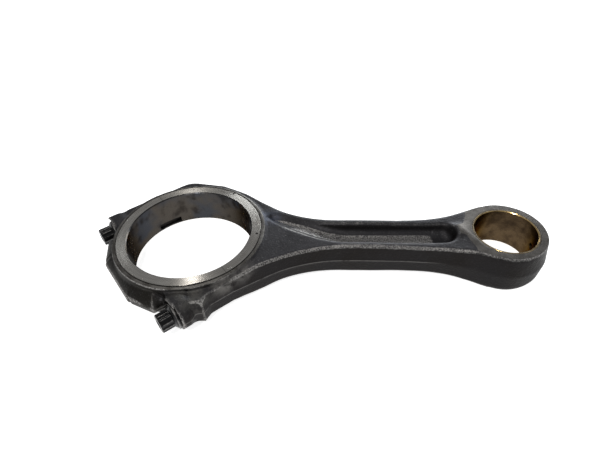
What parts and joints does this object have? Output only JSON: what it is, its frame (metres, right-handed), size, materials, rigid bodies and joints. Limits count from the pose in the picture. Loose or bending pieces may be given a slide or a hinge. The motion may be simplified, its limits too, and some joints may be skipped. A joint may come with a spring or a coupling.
{
  "type": "connecting rod",
  "caption": "Heavy-duty forged connecting rod with a slanted big-end joint, a bolted bearing cap and a bronze piston-pin bush.",
  "frame": {"origin": "centre of the crankpin bore, half way through its length", "axes": "+Z along the crankpin bore, +X from the crankpin bore to the piston-pin bore"},
  "size_m": [0.3852, 0.1637, 0.035],
  "materials": {
    "rod_forging": "peened dark forging skin with ground steel faces",
    "cap_forging": "oily dark forging skin with ground steel faces",
    "bronze": "bored bronze with a bright chamfer",
    "bolt_black": "oiled black oxide"
  },
  "bodies": {
    "rod": {"rod_body": "rod_forging", "pin_bush": "bronze"},
    "cap": {"bearing_cap": "cap_forging"},
    "bolt_near": {"cap_bolt_near": "bolt_black"},
    "bolt_far": {"cap_bolt_far": "bolt_black"}
  },
  "joints": [
    {"name": "cap_removal", "type": "slide", "parent": "rod", "child": "cap", "axis": [-0.766, -0.6428, 0], "range_m": [0, 0.065]},
    {"name": "bolt_near_removal", "type": "slide", "parent": "cap", "child": "bolt_near", "axis": [-0.766, -0.6428, 0], "range_m": [0, 0.078]},
    {"name": "bolt_far_removal", "type": "slide", "parent": "cap", "child": "bolt_far", "axis": [-0.766, -0.6428, 0], "range_m": [0, 0.078]}
  ]
}
